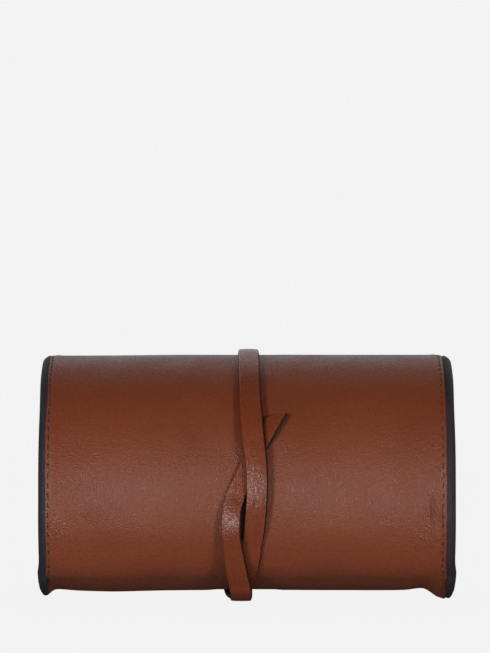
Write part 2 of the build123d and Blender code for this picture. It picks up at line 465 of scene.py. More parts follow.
CUT_EDGE = leather(
    "thong_cut_edge",
    dark=(0.010, 0.0050, 0.0040, 1),
    light=(0.026, 0.0110, 0.0080, 1),
    worn=(0.050, 0.0190, 0.0120, 1),
    rough=(0.55, 0.75),
    grain=0.12 * MM,
    shine=0.25,
)
# The thong's flesh side, near-black: painted shade under the thong, also laid on the lower part of its
# rounded left edge
FLESH_SIDE_PAINTED_SHADE = leather(
    "thong_flesh_side_painted_shade",
    dark=(0.030, 0.0090, 0.0050, 1),
    light=(0.048, 0.0150, 0.0080, 1),
    worn=(0.065, 0.0230, 0.0140, 1),
    rough=(0.80, 0.95),
    grain=0.30 * MM,
    shine=0.15,
)
EDGING = leather(
    "edge_binding",
    dark=(0.016, 0.012, 0.0155, 1),
    light=(0.028, 0.021, 0.0265, 1),
    worn=(0.040, 0.031, 0.036, 1),
    rough=(0.60, 0.75),
    grain=0.10 * MM,
    shine=0.3,
)
LINING = cloth("lining_cloth", (0.030, 0.020, 0.018, 1), (0.052, 0.036, 0.031, 1))
POCKET = cloth("pocket_cloth", (0.066, 0.042, 0.030, 1), (0.105, 0.070, 0.050, 1), threads=1000.0)
THREAD = thread_material()


# ---- mesh building


def mesh_object(name, points, quads, uvs, materials, normals=None, caps=(), which=None):
    """An object from (N, 3) points, (F, 4) corner numbers and (F, 4, 2) texture places.
    caps are (triangles, normal) that close it, and which picks each quad's material."""
    mesh = bpy.data.meshes.new(name)
    triangles = np.array([t for faces, _ in caps for t in faces], np.int32).reshape(-1, 3)
    corners = np.concatenate([quads.ravel(), triangles.ravel()]).astype(np.int32)
    sizes = np.array([4] * len(quads) + [3] * len(triangles), np.int32)
    mesh.vertices.add(len(points))
    mesh.vertices.foreach_set("co", points.astype(np.float32).ravel())
    mesh.loops.add(len(corners))
    mesh.loops.foreach_set("vertex_index", corners)
    mesh.polygons.add(len(sizes))
    mesh.polygons.foreach_set("loop_start", np.cumsum(sizes).astype(np.int32) - sizes)
    mesh.polygons.foreach_set("loop_total", sizes)
    mesh.update(calc_edges=True)
    mesh.polygons.foreach_set("use_smooth", np.ones(len(sizes), bool))
    cap_uvs = points[triangles.ravel()][:, [0, 2]]
    all_uvs = np.concatenate([uvs.reshape(-1, 2), cap_uvs])
    layer = mesh.uv_layers.new(name="UVMap")
    layer.data.foreach_set("uv", all_uvs.astype(np.float32).ravel())
    for material in materials:
        mesh.materials.append(material)
    if which is not None:
        capped = np.full(len(triangles), which.max())
        mesh.polygons.foreach_set("material_index", np.concatenate([which, capped]).astype(np.int32))
    if normals is not None:
        faced = np.array([n for faces, n in caps for _ in range(3 * len(faces))]).reshape(-1, 3)
        mesh.normals_split_custom_set(np.concatenate([normals[quads.ravel()], faced]))
    made = bpy.data.objects.new(name, mesh)
    bpy.context.scene.collection.objects.link(made)
    return made


def cap(ring, first, outwards):
    """Triangles that close a ring of points, numbered from first, facing outwards."""
    flat = ring - ring.mean(0)
    axes = np.linalg.svd(flat, full_matrices=False)[2][:2]
    found = tessellate_polygon([[Vector((*p, 0.0)) for p in flat @ axes.T]])
    faces = []
    for a, b, c in found:
        turned = np.cross(ring[b] - ring[a], ring[c] - ring[a]) @ outwards < 0
        faces.append((first + a, first + c, first + b) if turned else (first + a, first + b, first + c))
    return faces, outwards


def tube_quads(rows, k):
    """Corner numbers of the faces of a tube of rings with k points, and their (row, column)."""
    j, i = np.meshgrid(np.arange(k), np.arange(rows - 1))
    i, j = i.ravel(), j.ravel()
    nxt = (j + 1) % k
    return np.stack([i * k + j, i * k + nxt, (i + 1) * k + nxt, (i + 1) * k + j], 1), i, j


def tube_uvs(across, along, i, j):
    """Texture places of a tube's faces, from places across (rows, k + 1) and along (rows)."""
    corners = [(i, j), (i, j + 1), (i + 1, j + 1), (i + 1, j)]
    return np.stack([np.stack([across[r, c], along[r]], -1) for r, c in corners], 1)


def walk_round(profile):
    """Distance round a closed profile to each of its points, and back to the first."""
    closed = np.vstack([profile, profile[:1]])
    return np.concatenate([[0], np.cumsum(np.linalg.norm(np.diff(closed, axis=0), axis=1))])


def ring_normals(rings):
    """Normals of a tube of closed rings (rows, k, 3), before it is cut up."""
    around = np.roll(rings, -1, 1) - np.roll(rings, 1, 1)
    along = np.gradient(rings, axis=0)
    n = np.cross(around, along)
    length = np.linalg.norm(n, axis=-1, keepdims=True)
    return n / np.maximum(length, 1e-12)


def tube(name, rings, across, along, materials, normals, flip, which=None):
    """A closed piece from rings of points."""
    rows, k, _ = rings.shape
    points = rings.reshape(-1, 3)
    quads, i, j = tube_quads(rows, k)
    uvs = tube_uvs(across, along, i, j)
    if flip:
        quads, uvs = quads[:, ::-1], uvs[:, ::-1]
    ways = [rings[0].mean(0) - rings[1].mean(0), rings[-1].mean(0) - rings[-2].mean(0)]
    ways = [w / np.linalg.norm(w) for w in ways]
    caps = [cap(rings[0], 0, ways[0]), cap(rings[-1], (rows - 1) * k, ways[1])]
    picked = None if which is None else which[j]
    return mesh_object(name, points, quads, uvs, materials, normals.reshape(-1, 3), caps, picked)


# Pieces shorter than this many degrees aren't made
LEAST_SPAN = 0.05


def hang(obj, track, bodies, ends):
    """Rides a piece on its body when both of its bodies are the same, and leaves a piece between
    two bodies where it is, unbent. ends are the angles of the two cuts on either side of it."""
    if bodies[0] == bodies[1]:
        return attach(obj, bodies[0])
    p, q = track.point(np.array(ends), 0.0)
    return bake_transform(obj)


def spans(cuts, first, last):
    """(from angle, to angle, its two bodies, the angles of its two cuts) of each piece of a
    strip between two angles."""
    out = [(first, cuts[0][0], cuts[0][1], cuts[0][1])]
    out += [(a, b, m, n) for (a, m), (b, n) in zip(cuts, cuts[1:])]
    out.append((cuts[-1][0], last, cuts[-1][1], cuts[-1][1]))
    kept = []
    for a, b, before, after in out:
        lo, hi = max(a, first), min(b, last)
        if hi - lo > LEAST_SPAN:
            kept.append((lo, hi, (before, after), (a, b)))
    return kept


def sweep(name, track, cuts, first, last, step, ring_at, materials, flip=False, which=None):
    """A strip swept along a track and cut at the middles of its panels, as (piece, length).
    ring_at(angles) gives the closed rings (rows, k, 3) and the texture place across them
    (rows, k + 1)."""
    edges = spans(cuts, first, last)
    rows, marks = [], [0]
    for lo, hi, *_ in edges:
        length = track.length_at(hi) - track.length_at(lo)
        n = max(2, int(math.ceil(length / step)))
        new = track.angle_at(np.linspace(track.length_at(lo), track.length_at(hi), n + 1))
        rows += list(new if not rows else new[1:])
        marks.append(len(rows) - 1)
    rows = np.array(rows)
    rings, across = ring_at(rows)
    normals = ring_normals(rings) * (-1 if flip else 1)
    along = track.length_at(rows)
    pieces = []
    for number, (lo, hi, bodies, ends) in enumerate(edges):
        cut = slice(marks[number], marks[number + 1] + 1)
        label = f"{name}_{number:02d}"
        obj = tube(label, rings[cut], across[cut], along[cut], materials, normals[cut], flip, which)
        hang(obj, track, bodies, ends)
        pieces.append((obj, track.length_at(hi) - track.length_at(lo)))
    return pieces


def slab_ring(columns, outer, inner):
    """Rings of a flat slab from its outside grid and inside grid, each (rows, columns, 3)."""
    rings = np.concatenate([outer, inner[:, ::-1]], 1)
    u = np.concatenate([columns, columns[::-1], columns[:1]])
    return rings, np.broadcast_to(u, (rings.shape[0], len(u)))


def grid_points(track, angles, x, depth):
    """Points on a track's section for places (rows, columns) across and depths."""
    x, depth = np.broadcast_arrays(x, depth)
    yz = track.point(np.broadcast_to(angles[:, None], depth.shape), depth)
    return np.concatenate([x[..., None], yz], -1)


# ---- leather cover

LEATHER = 1.3 * MM
STITCH_IN = 2.0 * MM
EDGE_HALF = LEATHER_HALF + 0.45 * MM
STITCH_LINE = EDGE_HALF - STITCH_IN
PITCH = 5.0 * MM
EDGE_ROUND = 0.55 * MM
# The plies start and stop a little inside the tape folded over the sheet's short ends
SHEET_FROM = -INNER_END + 2.6
SHEET_TO = FREE_EDGE - math.degrees(3.2 * MM / UPPER_R)
WHOLE_SHEET = (SHEET, SHEET_CUTS, SHEET_FROM, SHEET_TO)
# The whole leather sits a little to the left, and its ends spread out near the table
LEAN = -0.7 * MM
END_SPREAD = 1.7 * MM
SPREAD_OVER = 28 * MM
# Near the thong the leather lifts by PRESSED_LIFT at most, and freely beyond PRESSED_EDGE
PRESSED_HALF = 14 * MM
PRESSED_EDGE = 20 * MM
PRESSED_LIFT = 0.15 * MM
wave_a = Noise(3, 0.070, 0.060)
wave_b = Noise(5, 0.026, 0.022)
wave_c = Noise(8, 0.011, 0.009)


def underside(angle, full=24.0, none=62.0):
    """1 on the roll's underside, 0 up its sides."""
    return 1 - smooth(np.abs(angle), full, none)


def table_share(angle):
    """How much of the way down to the table the roll's end edges sag."""
    return 1 - smooth(np.abs(angle), 4.5, 24.0)


def droop(angle, x):
    """Sag of the leather's end edges towards the table, further on the right."""
    right = 4.0 * MM * smooth(x, 90 * MM, 100 * MM) - 1.0 * MM * bump(x, 89.5 * MM, 5 * MM)
    right += 0.7 * MM * smooth(x, 98 * MM, 101 * MM)
    left = 2.5 * MM * smooth(-x, 96.5 * MM, 101 * MM) - 0.5 * MM * bump(x, -95 * MM, 6 * MM)
    left -= 1.5 * MM * smooth(-x, 101.6 * MM, 104.6 * MM)
    return (right + left) * table_share(angle)


def relief(s, x):
    """How far the leather stands out of its even curve: slack, dents and seams."""
    a = SHEET.angle_at(s)
    side = np.abs(x)
    lift = 0.30 * MM * wave_a(x, s) + 0.10 * MM * wave_b(x, s) + 0.035 * MM * wave_c(x, s)
    # the thread pulls the leather in, most at the holes between stitches, and pads it beside
    pull = 0.5 + 0.5 * np.cos(2 * math.pi * s / PITCH)
    lift -= (0.26 + 0.30 * pull) * MM * bump(side, STITCH_LINE, 0.65 * MM)
    lift += (0.08 + 0.14 * pull) * MM * bump(side, STITCH_LINE - 2.2 * MM, 1.3 * MM)
    lift -= 0.40 * MM * smooth(side, STITCH_LINE + 0.4 * MM, EDGE_HALF)
    lift += (0.5 * MM + 0.8 * MM * bump(x, -69 * MM, 22 * MM)) * underside(a)
    pressed = 1 - smooth(side, PRESSED_HALF, PRESSED_EDGE)
    lift -= pressed * np.maximum(lift - PRESSED_LIFT, 0)
    return lift + droop(a, x)


def spread(angle, x):
    """The roll's ends spread sideways towards the table."""
    share = smooth(np.abs(x), EDGE_HALF - SPREAD_OVER, EDGE_HALF)
    return np.sign(x) * END_SPREAD * share * underside(angle, 3, 45)


def edge_drop(x, half):
    """How far the leather's rounded edge falls away at each place across."""
    over = np.clip((np.abs(x) - (half - EDGE_ROUND)) / EDGE_ROUND, 0, 1)
    return EDGE_ROUND * (1 - np.sqrt(np.maximum(0, 1 - over**2)))


def columns_between(lo, hi, step, fine):
    """Column places, closer together towards both ends."""
    inner = np.linspace(lo + fine[-1], hi - fine[-1], int((hi - lo) / step))
    return np.concatenate([lo + np.array(fine[:-1]), inner, hi - np.array(fine[:-1])[::-1]])


FINE = np.array([0.0, 0.08, 0.25, 0.55, 1.0, 1.4, 1.8, 2.2, 2.6, 3.0, 3.6, 4.4, 5.4, 6.6]) * MM
cover_x = columns_between(-EDGE_HALF, EDGE_HALF, 1.5 * MM, FINE)


def cover_ring(angles):
    lift = relief(SHEET.length_at(angles)[:, None], cover_x[None, :])
    x = cover_x + (LEAN + spread(angles[:, None], cover_x[None, :]))
    outer = grid_points(SHEET, angles, x, edge_drop(cover_x, EDGE_HALF)[None, :] - lift)
    inner = grid_points(SHEET, angles, x, LEATHER - np.maximum(lift, 0))
    return slab_ring(cover_x, outer, inner)


cover = sweep("cover", *WHOLE_SHEET, 1.3 * MM, cover_ring, [COVER])
NAMES = [b[len("panel_") :] for _, b in SHEET_CUTS]


def stand_for(pieces, prefix, names=NAMES):
    """Hides each CAD node that the pieces meeting halfway along it take the place of."""
    for (piece, _), name in zip(pieces, names):
        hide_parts(prefix + name)


stand_for(cover, "cover_")

# ---- lining and pockets

# Depths of the lining's outside and inside
LINING_TOP = 1.35 * MM
LINING_BOTTOM = 2.15 * MM
lining_x = columns_between(-LEATHER_HALF, LEATHER_HALF, 3.5 * MM, np.array([0.0, 0.6]) * MM)
POCKET_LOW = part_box("pocket_panel_bottom")[0].x
POCKET_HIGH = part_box("pocket_panel_bottom")[1].x
POCKET_FROM = -140.0
POCKET_TO = 240.0
POCKET_WIDTH = 30.0 * MM
pocket_x = columns_between(POCKET_LOW, POCKET_HIGH, 2.0 * MM, np.array([0.0, 0.5, 1.2]) * MM)
slack = Noise(21, 0.05, 0.04)


def lining_ring(angles):
    s = SHEET.length_at(angles)[:, None]
    wave = 0.04 * MM * slack(lining_x[None, :], s)
    outer = grid_points(SHEET, angles, lining_x, np.full(wave.shape, LINING_TOP))
    inner = grid_points(SHEET, angles, lining_x, LINING_BOTTOM + wave)
    return slab_ring(lining_x, outer, inner)


def pocket_ring(angles):
    s = SHEET.length_at(angles)[:, None]
    x = pocket_x[None, :]
    seam = np.abs(np.mod(s + POCKET_WIDTH / 2, POCKET_WIDTH) - POCKET_WIDTH / 2)
    puff = smooth(seam, 0.0, 5 * MM) * smooth(x, POCKET_LOW, POCKET_LOW + 12 * MM)
    rise = 0.9 * MM * puff * (0.8 + 0.3 * slack(x, s))
    outer = grid_points(SHEET, angles, pocket_x, LINING_BOTTOM + 0.12 * MM + 0.5 * rise)
    inner = grid_points(SHEET, angles, pocket_x, LINING_BOTTOM + 0.75 * MM + rise)
    return slab_ring(pocket_x, outer, inner)


lining = sweep("lining", *WHOLE_SHEET, 3.0 * MM, lining_ring, [LINING])
stand_for(lining, "lining_")
pockets = sweep("pockets", SHEET, SHEET_CUTS, POCKET_FROM, POCKET_TO, 1.8 * MM, pocket_ring, [POCKET])
stand_for(pockets, "pocket_panel_", [n for n in NAMES if n not in ("flap_end", "inner_end")])

# ---- edge bindings

ripple = Noise(33, 0.01, 0.012)

# The side tape's section as (mm in from the roll's end, mm deep, share of the sag)
TAPE = [
    (4.9, 1.15, 1.0),
    (4.6, 0.80, 1.0),
    (4.1, 0.50, 1.0),
    (3.4, 0.32, 1.0),
    (2.8, 0.30, 1.0),
    (2.2, 0.46, 0.97),
    (1.6, 0.82, 0.9),
    (0.9, 1.30, 0.75),
    (0.2, 1.95, 0.55),
    (-0.2, 2.75, 0.3),
    (-0.25, 3.15, 0.15),
    (0.1, 3.40, 0.05),
    (0.9, 3.48, 0.0),
    (2.4, 3.40, 0.0),
    (5.0, 3.25, 0.0),
    (8.0, 3.15, 0.0),
    (11.0, 3.12, 0.0),
    (11.8, 3.05, 0.0),
    (12.0, 2.8, 0.0),
    (11.8, 2.4, 0.0),
    (11.0, 2.3, 0.0),
    (8.0, 2.3, 0.0),
    (5.4, 2.28, 0.0),
    (5.0, 2.0, 0.1),
    (4.95, 1.6, 0.3),
]
tape = np.array(TAPE) * [MM, MM, 1]
# How far above the table the sagging edge stays, on the right (1) and on the left (-1)
TAPE_CLEAR = {1: 0.3 * MM, -1: 1.7 * MM}


def binding_ring(side):
    """The side tape's rings on the right (1) or on the left (-1)."""
    across = walk_round(tape[:, :2])

    def make(angles):
        s = SHEET.length_at(angles)[:, None]
        shape = (len(angles), len(tape))
        outside = tape[:, 2] > 0
        surface = SHEET.point(angles, 0.0)[:, 1] / np.cos(np.radians(np.clip(angles, -60, 60)))
        fall = (surface - TAPE_CLEAR[side] - 0.2 * MM) * table_share(angles) + 0.5 * MM * underside(angles)
        uneven = 0.10 * MM * ripple(tape[None, :, 0], s) * outside
        depth = tape[:, 1] - tape[:, 2] * fall[:, None] + uneven
        swell = 0.25 * MM * ripple(np.full(shape, 0.5 * MM), s * 0.5) * outside
        sideways = spread(angles[:, None], np.full(shape, side * EDGE_HALF))
        x = side * (ROLL_HALF - tape[:, 0] + swell) + sideways
        points = grid_points(SHEET, angles, x, depth)
        points[..., 2] = np.maximum(points[..., 2], 0.0)
        return points, np.broadcast_to(across, (len(angles), len(across)))

    return make


bindings = {}
for side, label in ((1, "right"), (-1, "left")):
    name, ring = f"side_binding_{label}", binding_ring(side)
    bindings[label] = sweep(name, *WHOLE_SHEET, 1.8 * MM, ring, [EDGING], flip=side < 0)
stand_for(bindings["right"], "side_bindings_")

# The short ends' tape as (mm past the end, mm deep)
END_TAPE = [
    (-3.2, -0.05),
    (-1.8, -0.32),
    (-0.7, -0.28),
    (-0.1, 0.3),
    (0.0, 1.4),
    (-0.1, 2.5),
    (-0.7, 3.0),
    (-2.0, 3.15),
    (-6.0, 3.15),
    (-7.6, 3.1),
    (-7.8, 2.7),
    (-7.0, 2.3),
    (-3.4, 2.2),
    (-3.2, 1.2),
]
end_profile = np.array(END_TAPE) * MM
END_TAPE_SHORT = 0.3 * MM
END_TAPE_ROWS = 160


def end_tape(name, angle, direction, body, cad):
    """Tape folded over one of the sheet's short ends, along the whole width."""
    xs = np.linspace(-ROLL_HALF + END_TAPE_SHORT, ROLL_HALF - END_TAPE_SHORT, END_TAPE_ROWS)
    a = SHEET.angle_at(SHEET.length_at(angle) + direction * end_profile[:, 0])
    yz = SHEET.point(a, end_profile[:, 1])
    rings = np.zeros((len(xs), len(end_profile), 3))
    rings[..., 0] = xs[:, None]
    rings[..., 1:] = yz
    rings[..., 2] += 0.06 * MM * ripple(rings[..., 0] * 3, rings[..., 2])
    walk = walk_round(end_profile)
    across = np.broadcast_to(walk, (len(xs), len(walk)))
    turned = direction > 0
    normals = ring_normals(rings) * (-1 if turned else 1)
    made = tube(name, rings, across, xs, [EDGING], normals, turned)
    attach(made, body)
    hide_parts(cad)


end_tape("end_binding_outer", FREE_EDGE, 1, "panel_flap_end", "end_binding_flap_end")
end_tape("end_binding_inner", -INNER_END, -1, "panel_inner_end", "end_binding_inner_end")

# ---- stitches

# Length and radius of the edge stitches and of the stitches in the pocket seams
STITCH = (3.5 * MM, 0.34 * MM)
SEAM_STITCH = (2.3 * MM, 0.3 * MM)
SEAM_PITCH = 3.2 * MM
# The edge stitching stops this many degrees before the sheet's short ends
STITCHING_SHORT = 4.5


STITCH_FLAT = 0.9
STITCH_SUNK = 0.9


def capsule(length, radius, segments=10, rows=9):
    """A stitch along the first axis, its ends sunk, as rings (rows, segments, 3)."""
    t = np.linspace(-1, 1, rows)
    taper = np.sqrt(np.maximum(0.03, 1 - np.abs(t) ** 3.2))
    a = np.linspace(0, 2 * math.pi, segments, endpoint=False)
    out = np.zeros((rows, segments, 3))
    out[..., 0] = t[:, None] * length / 2
    out[..., 1] = taper[:, None] * np.cos(a) * radius
    out[..., 2] = taper[:, None] * np.sin(a) * radius * STITCH_FLAT
    out[..., 2] -= (t**2)[:, None] * radius * STITCH_SUNK
    return out


# How much of the thread's texture goes round and along one stitch, in metres
THREAD_TEXTURE = 0.004


def stitches(name, track, spots, bodies, ends, depth_at, size=STITCH):
    """One mesh of many stitches. spots are (angle along the track, x, slant)."""
    unit = capsule(*size)
    rows, k, _ = unit.shape
    face, i, j = tube_quads(rows, k)
    around = np.tile(np.arange(k + 1) / k, (rows, 1))
    face_uv = tube_uvs(around, np.arange(rows) / rows, i, j) * THREAD_TEXTURE
    near = [(0, c, c + 1) for c in range(1, k - 1)]
    far = [((rows - 1) * k, (rows - 1) * k + c + 1, (rows - 1) * k + c) for c in range(1, k - 1)]
    shut = np.array([(a, c, b) for a, b, c in near + far])
    points, quads, closing = [], [], []
    for number, (angle, x, slant) in enumerate(spots):
        c, d = math.cos(slant), math.sin(slant)
        along = unit[..., 0] * c - unit[..., 1] * d
        sideways = x + unit[..., 0] * d + unit[..., 1] * c
        s = track.length_at(angle) + along
        a = track.angle_at(s)
        yz = track.point(a, depth_at(s, sideways) - unit[..., 2])
        shifted = sideways + (LEAN + spread(a, sideways) if track is SHEET else 0.0)
        points.append(np.concatenate([shifted[..., None], yz], -1).reshape(-1, 3))
        quads.append(face + number * rows * k)
        closing += list(shut + number * rows * k)
    made = mesh_object(
        name,
        np.concatenate(points),
        np.concatenate(quads),
        np.tile(face_uv, (len(spots), 1, 1)),
        [THREAD],
        caps=[(closing, None)],
    )
    return hang(made, track, bodies, ends)


def on_leather(s, x):
    return -relief(s, x) - 0.05 * MM


def on_pocket(s, x):
    return np.full(s.shape, LINING_BOTTOM + 0.85 * MM)


def on_patch(s, x):
    return np.full(s.shape, -1.35 * MM)


def sew_edges():
    """A row of stitches beside each end binding, each a little out of line."""
    random = np.random.RandomState(11)
    first = SHEET.length_at(-INNER_END + STITCHING_SHORT)
    last = SHEET.length_at(FREE_EDGE - STITCHING_SHORT)
    start = math.ceil(first / PITCH) + 0.5
    angles = SHEET.angle_at(PITCH * (start + np.arange(int((last - first) / PITCH))))
    for side, label in ((1, "right"), (-1, "left")):
        for number, (lo, hi, bodies, ends) in enumerate(spans(SHEET_CUTS, SHEET_FROM, SHEET_TO)):
            here = angles[(angles > lo) & (angles <= hi)]
            x = side * STITCH_LINE + random.uniform(-0.12, 0.12, len(here)) * MM
            slants = random.uniform(-0.09, 0.09, len(here)) + side * 0.06
            name = f"edge_stitches_{label}_{number:02d}"
            stitches(name, SHEET, list(zip(here, x, slants)), bodies, ends, on_leather)


def sew_pockets():
    """Seams between the pockets, sewn through cloth and lining."""
    low, high = SHEET.length_at(POCKET_FROM + 2), SHEET.length_at(POCKET_TO - 2)
    counted = np.arange(math.ceil(low / POCKET_WIDTH), math.floor(high / POCKET_WIDTH) + 1)
    seams = SHEET.angle_at(counted * POCKET_WIDTH)
    xs = np.arange(POCKET_LOW + 4 * MM, POCKET_HIGH - 1 * MM, SEAM_PITCH)
    for number, (lo, hi, bodies, ends) in enumerate(spans(SHEET_CUTS, POCKET_FROM, POCKET_TO)):
        spots = [(angle, x, math.pi / 2) for angle in seams if lo < angle <= hi for x in xs]
        if spots:
            name = f"pocket_seams_{number:02d}"
            stitches(name, SHEET, spots, bodies, ends, on_pocket, SEAM_STITCH)


sew_edges()
sew_pockets()

# ---- thong

THONG_HALF = 5.15 * MM
THONG_THICK = 1.9 * MM
THONG_FROM = 264.0
THONG_TO = 844.6
# Its free end is cut on a slant, and its rows turn towards that slant over this length
TIP_SLANT = math.tan(math.radians(34))
TIP_SLANT_OVER = 9.0 * MM

# The thong's run as (angle, x in mm, its middle's level above the leather in mm, twist in
# degrees, half width in mm)
RUN = [
    (258.0, 12.0, 1.10, 0, 5.1),
    (280.0, 11.6, 1.15, 0, 5.1),
    (310.0, 9.2, 1.20, 0, 5.1),
    (335.0, 3.0, 1.25, 0, 5.1),
    (352.0, -1.8, 1.30, 0, 5.1),
    (366.0, -2.9, 1.30, 0, 5.1),
    (383.5, -0.9, 1.30, 0, 5.2),
    (407.0, 1.2, 1.30, 0, 5.3),
    (424.0, 2.5, 1.38, 0, 5.3),
    (434.0, 3.5, 2.10, 1, 5.35),
    (441.0, 4.15, 3.10, 3, 5.4),
    (448.0, 4.85, 4.35, 5, 5.4),
    (453.0, 5.15, 4.75, 6, 5.4),
    (459.0, 5.05, 4.85, 7, 5.45),
    (466.0, 4.5, 4.75, 7, 5.6),
    (473.0, 3.4, 4.50, 6, 5.8),
    (481.0, 2.45, 3.95, 5, 5.85),
    (488.0, 1.95, 3.40, 5, 5.65),
    (497.0, 1.6, 2.80, 5, 5.4),
    (515.0, 1.2, 2.15, 3, 5.3),
    (540.0, 0.85, 2.3, 0, 5.15),
    (556.0, 0.2, 1.6, 0, 5.1),
    (580.0, -1.6, 1.2, 0, 5.1),
    (600.0, -3.8, 1.2, 0, 5.1),
    (640.0, -7.0, 1.3, 0, 5.1),
    (670.0, -8.6, 2.0, 0, 5.1),
    (700.0, -8.2, 3.2, 0, 5.2),
    (716.0, -6.2, 3.5, 0, 5.2),
    (724.0, -4.5, 3.9, 0, 5.2),
    (728.0, -3.6, 4.9, 0, 5.3),
    (732.0, -3.0, 7.0, 0, 5.4),
    (736.0, -2.8, 8.2, 0, 5.5),
    (741.0, -3.0, 7.8, 0, 5.6),
    (748.0, -3.6, 6.4, 0, 5.6),
    (757.0, -4.5, 5.8, 1, 5.55),
    (767.0, -5.3, 5.6, 2, 5.4),
    (784.0, -6.95, 5.5, 6, 5.05),
    (792.0, -7.75, 5.4, 12, 5.0),
    (796.0, -8.0, 5.25, 15, 5.05),
    (800.0, -8.1, 4.95, 16, 5.1),
    (804.0, -7.95, 4.20, 15, 5.1),
    (808.0, -7.3, 2.75, 12, 5.1),
    (811.5, -5.95, 1.55, 7, 5.05),
    (814.5, -4.25, 1.22, 3, 5.0),
    (817.5, -2.4, 1.15, 1, 5.0),
    (821.0, -0.3, 1.15, 0, 5.0),
    (825.0, 1.6, 1.2, 0, 5.0),
    (831.0, 5.0, 1.35, 6, 5.0),
    (838.0, 9.9, 1.8, 12, 5.0),
    (846.0, 15.6, 2.3, 17, 5.0),
]
run = np.array(RUN)


def spline(x, knots, values):
    """Smooth curve through points, with slopes from their neighbours."""
    h = np.diff(knots)
    d = np.diff(values) / h
    m = np.concatenate([[d[0]], (d[:-1] * h[1:] + d[1:] * h[:-1]) / (h[:-1] + h[1:]), [d[-1]]])
    i = np.clip(np.searchsorted(knots, x) - 1, 0, len(knots) - 2)
    t = (x - knots[i]) / h[i]
    a, b = values[i], values[i + 1]
    return (
        a * (1 + 2 * t) * (1 - t) ** 2
        + b * t * t * (3 - 2 * t)
        + h[i] * (m[i] * t * (1 - t) ** 2 + m[i + 1] * t * t * (t - 1))
    )


thong_noise = Noise(44, 0.006, 0.014)
pucker = Noise(47, 0.030, 0.0022)
TOP_POINTS = 15


def thong_profile():
    """Section of the thong as (across, up): its right edge cut on a slant, its left edge rounded."""
    w, t = THONG_HALF, THONG_THICK / 2
    xs = np.linspace(-w + 0.55 * MM, w - 0.62 * MM, TOP_POINTS)
    top = [(x, t - 0.10 * MM * (abs(x) / w) ** 4) for x in xs]
    right = [
        (w - 0.44 * MM, t - 0.30 * MM),
        (w - 0.16 * MM, t - 0.9 * MM),
        (w, -t + 0.35 * MM),
        (w - 0.1 * MM, -t + 0.1 * MM),
    ]
    low = [(x, -t) for x in np.linspace(w - 0.4 * MM, -w + 0.4 * MM, TOP_POINTS)]
    left = [
        (-w + 0.06 * MM, -t + 0.3 * MM),
        (-w, -0.1 * MM),
        (-w + 0.07 * MM, t - 0.5 * MM),
        (-w + 0.26 * MM, t - 0.2 * MM),
    ]
    return np.array(top + right + low + left)


profile = thong_profile()
# Each face of the section shows the grain side, the cut edge or the flesh side; the flesh side's
# near-black colour, on the underside and the lower part of the left edge, is painted shade
THONG_LOOKS = [STRAP, CUT_EDGE, FLESH_SIDE_PAINTED_SHADE]
thong_sides = np.zeros(len(profile), int)
thong_sides[TOP_POINTS - 1 : TOP_POINTS + 4] = THONG_LOOKS.index(CUT_EDGE)
# the underside and the lower part of the rounded left edge get the flesh side's painted shade
thong_sides[TOP_POINTS + 4 : 2 * TOP_POINTS + 6] = THONG_LOOKS.index(FLESH_SIDE_PAINTED_SHADE)


def thong_ring(angles):
    s = THONG.length_at(angles)
    x, level, degrees, half = [spline(angles, run[:, 0], values) for values in run[:, 1:].T]
    x, level, half = x * MM, level * MM, half[:, None] * MM
    twist = np.radians(degrees)[:, None]
    centre = np.concatenate([x[:, None], THONG.point(angles, -level)], -1)
    ahead = np.gradient(centre, axis=0)
    ahead /= np.linalg.norm(ahead, axis=1, keepdims=True)
    up = np.concatenate([np.zeros((len(angles), 1)), outward(angles)], -1)
    side = np.cross(ahead, up)
    side /= np.linalg.norm(side, axis=1, keepdims=True)
    up = np.cross(side, ahead)
    turned = side * np.cos(twist) + up * np.sin(twist)
    up = up * np.cos(twist) - side * np.sin(twist)
    across, rise = profile[:, 0] * half / THONG_HALF, profile[:, 1]
    wobble = 0.12 * MM * thong_noise(across * 3, s[:, None]) * np.sign(across)
    pinch = 0.05 * MM * pucker(across, s[:, None]) * (rise > 0) * (1 - (across / half) ** 2)
    cup = -0.22 * MM * (across / half) ** 2
    end = THONG.length_at(THONG_TO)
    slant = TIP_SLANT * smooth(s, end - TIP_SLANT_OVER, end)[:, None] * across
    rings = centre[:, None] + turned[:, None] * (across + wobble)[..., None]
    rings += up[:, None] * (rise + cup + pinch)[..., None] + ahead[:, None] * slant[..., None]
    rings[..., 2] = np.maximum(rings[..., 2], 0.03 * MM)
    walk = walk_round(profile)
    return rings, np.broadcast_to(walk, (len(angles), len(walk)))


WHOLE_THONG = (THONG, THONG_CUTS, THONG_FROM, THONG_TO)
thong = sweep("thong", *WHOLE_THONG, 1.0 * MM, thong_ring, THONG_LOOKS, which=thong_sides)
stand_for(thong, "thong_", ["anchor"] + [b[len("strap_") :] for _, b in THONG_CUTS[1:]])

# ---- thong patch

PATCH_FROM = 262.0
PATCH_TO = 274.0
# The patch is humped over the thong inside the first of these and flat beyond the second
HUMP_HALF = 4.6 * MM
HUMP_EDGE = 8.2 * MM
PATCH_HEM = 1.6 * MM
PATCH_HEM_ANGLE = 1.6


